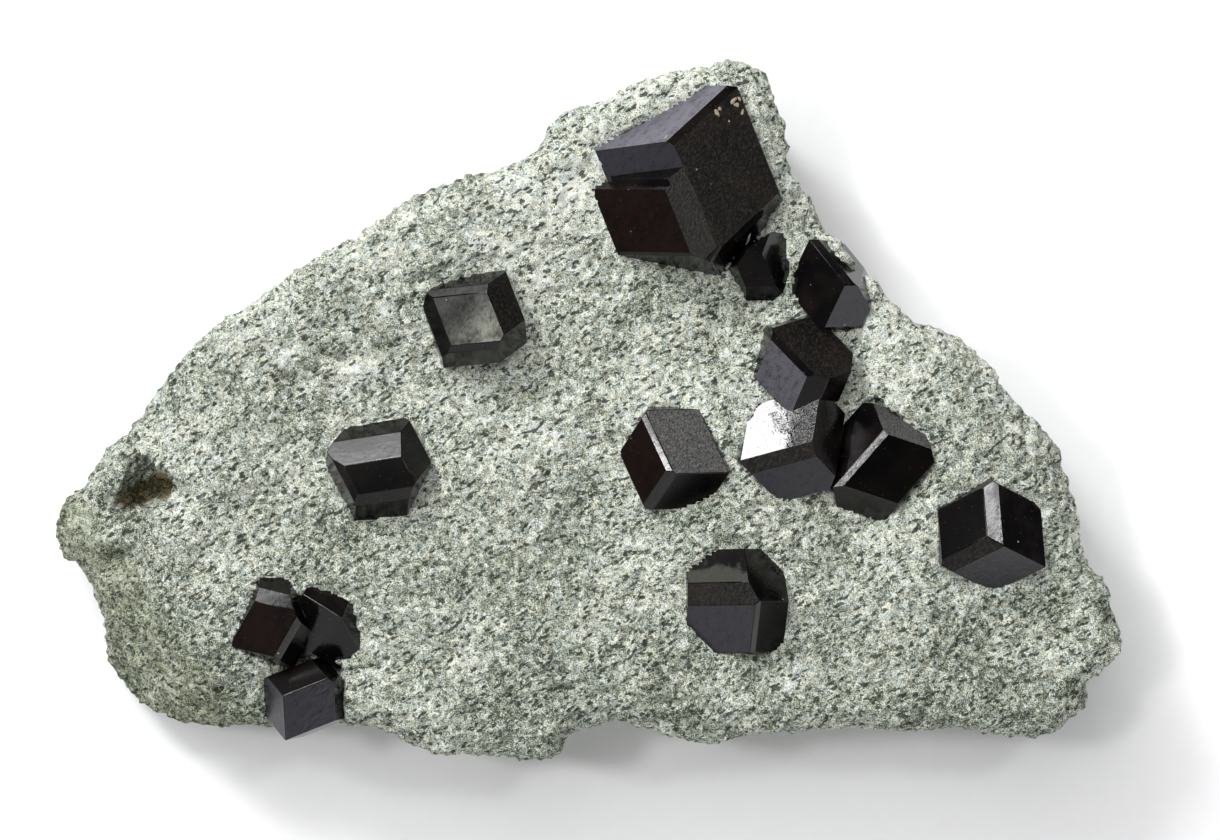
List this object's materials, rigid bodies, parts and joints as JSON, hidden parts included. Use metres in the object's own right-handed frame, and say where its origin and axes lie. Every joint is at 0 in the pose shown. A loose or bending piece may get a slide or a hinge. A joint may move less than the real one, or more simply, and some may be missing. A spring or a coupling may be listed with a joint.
{
  "type": "garnet in matrix mineral specimen",
  "caption": "Near-black dodecahedral garnet crystals standing out of a flat slab of pale grey-green fine-grained rock with broken edges.",
  "frame": {"origin": "centre of the bounding box's underside, on the slab's flat back", "axes": "+X along the slab's long way, from its narrow tip to its broad end; +Y towards the edge with the large crystal; +Z out of the crystal side"},
  "size_m": [0.1112, 0.072, 0.0224],
  "materials": {
    "matrix_rock": "fine sugary grain, matt, pale grey-green speckled dark green and cream",
    "garnet": "glassy polished natural crystal faces, near black with a faint brown-red tint"
  },
  "bodies": {
    "root": {"matrix": "matrix_rock", "garnet_large": "garnet", "garnet_chain": "garnet", "garnet_centre": "garnet", "garnet_far_right": "garnet", "garnet_lower_middle": "garnet", "garnet_upper_left": "garnet", "garnet_left_middle": "garnet", "garnet_lower_left": "garnet"}
  },
  "joints": []
}
